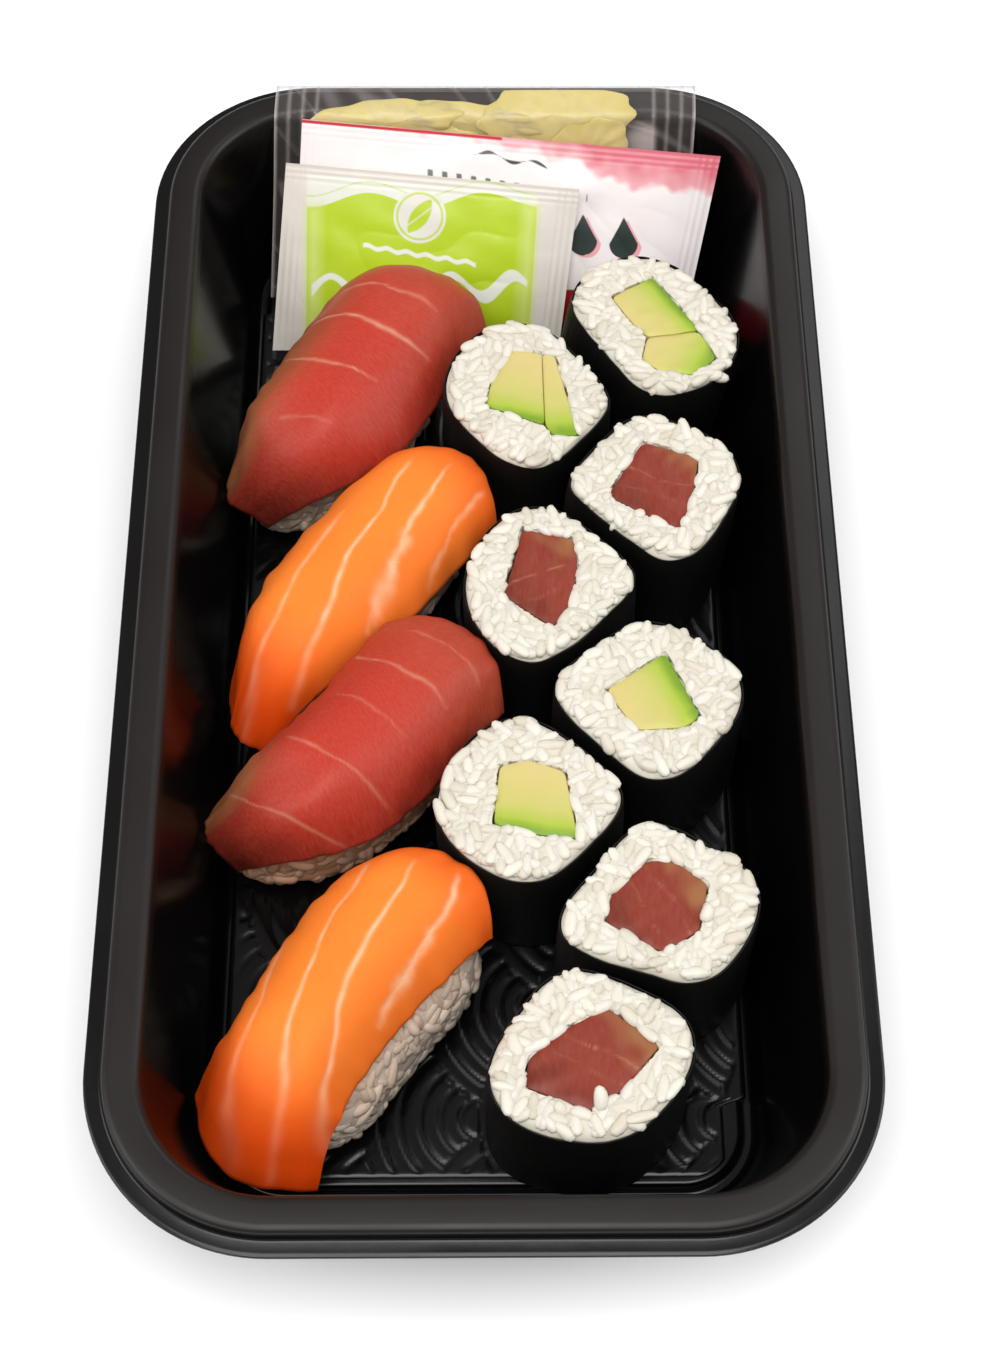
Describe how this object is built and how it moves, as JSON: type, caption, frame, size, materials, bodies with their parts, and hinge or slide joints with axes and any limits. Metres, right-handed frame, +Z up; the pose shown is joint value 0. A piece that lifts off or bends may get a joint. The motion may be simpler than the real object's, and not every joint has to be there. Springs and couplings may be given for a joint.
{
  "type": "takeaway sushi tray",
  "caption": "Black rounded-rectangle plastic tray filled with fish-topped nigiri, cut maki rolls in a zigzag row and flat sachets leaning on its far end.",
  "frame": {"origin": "middle of the tray on the plane that it stands on", "axes": "+Z up, +Y along the tray towards the end where the sachets lean, +X to the side where the maki rolls stand"},
  "size_m": [0.12, 0.226, 0.0348],
  "materials": {
    "tray_plastic": "glossy black inside, satin along the rim",
    "rice": "moist, slightly translucent grains",
    "nori": "dull, fine ridges",
    "tuna": "moist, thin pale lines",
    "salmon": "moist, pale wavy lines",
    "avocado": "soft, yellow to green",
    "ginger_sachet": "clear film over pale sliced ginger",
    "soy_sachet": "white film with a pink wash",
    "wasabi_sachet": "lime green field on off-white film"
  },
  "bodies": {
    "root": {"tray": "tray_plastic", "maki_1_nori": "nori", "maki_1_rice": "rice", "maki_1_avocado_a": "avocado", "maki_1_avocado_b": "avocado", "maki_2_nori": "nori", "maki_2_rice": "rice", "maki_2_avocado_a": "avocado", "maki_2_avocado_b": "avocado", "maki_3_nori": "nori", "maki_3_rice": "rice", "maki_3_tuna": "tuna", "maki_4_nori": "nori", "maki_4_rice": "rice", "maki_4_tuna": "tuna", "maki_5_nori": "nori", "maki_5_rice": "rice", "maki_5_avocado": "avocado", "maki_6_nori": "nori", "maki_6_rice": "rice", "maki_6_avocado": "avocado", "maki_7_nori": "nori", "maki_7_rice": "rice", "maki_7_tuna": "tuna", "maki_8_nori": "nori", "maki_8_rice": "rice", "maki_8_tuna": "tuna", "nigiri_1_rice": "rice", "nigiri_1_tuna": "tuna", "nigiri_2_rice": "rice", "nigiri_2_salmon": "salmon", "nigiri_3_rice": "rice", "nigiri_3_tuna": "tuna", "nigiri_4_rice": "rice", "nigiri_4_salmon": "salmon", "sachet_ginger": "ginger_sachet", "sachet_soy": "soy_sachet", "sachet_wasabi": "wasabi_sachet"}
  },
  "joints": []
}
